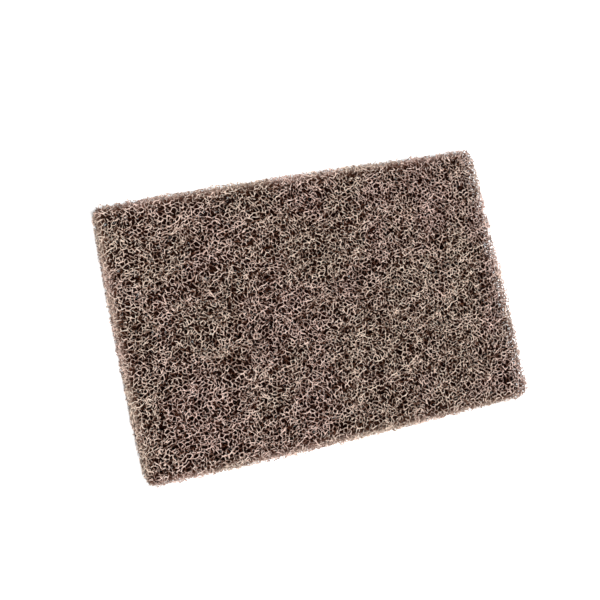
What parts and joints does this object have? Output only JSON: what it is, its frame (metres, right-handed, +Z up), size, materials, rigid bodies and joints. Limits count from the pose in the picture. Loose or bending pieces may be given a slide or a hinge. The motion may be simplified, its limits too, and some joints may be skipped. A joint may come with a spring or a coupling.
{
  "type": "griddle pad",
  "caption": "Flat rectangular scouring pad of stiff brown strands bonded into an open, porous web, used to scrub a hot griddle.",
  "frame": {"origin": "middle of the underside, on the surface that the pad lies on", "axes": "+X along the pad's length, +Y across its width, +Z up out of its top face"},
  "size_m": [0.1519, 0.1018, 0.0095],
  "materials": {
    "brown_scouring_web": "rough bonded strands, open web"
  },
  "bodies": {
    "root": {"griddle_pad": "brown_scouring_web"}
  },
  "joints": []
}
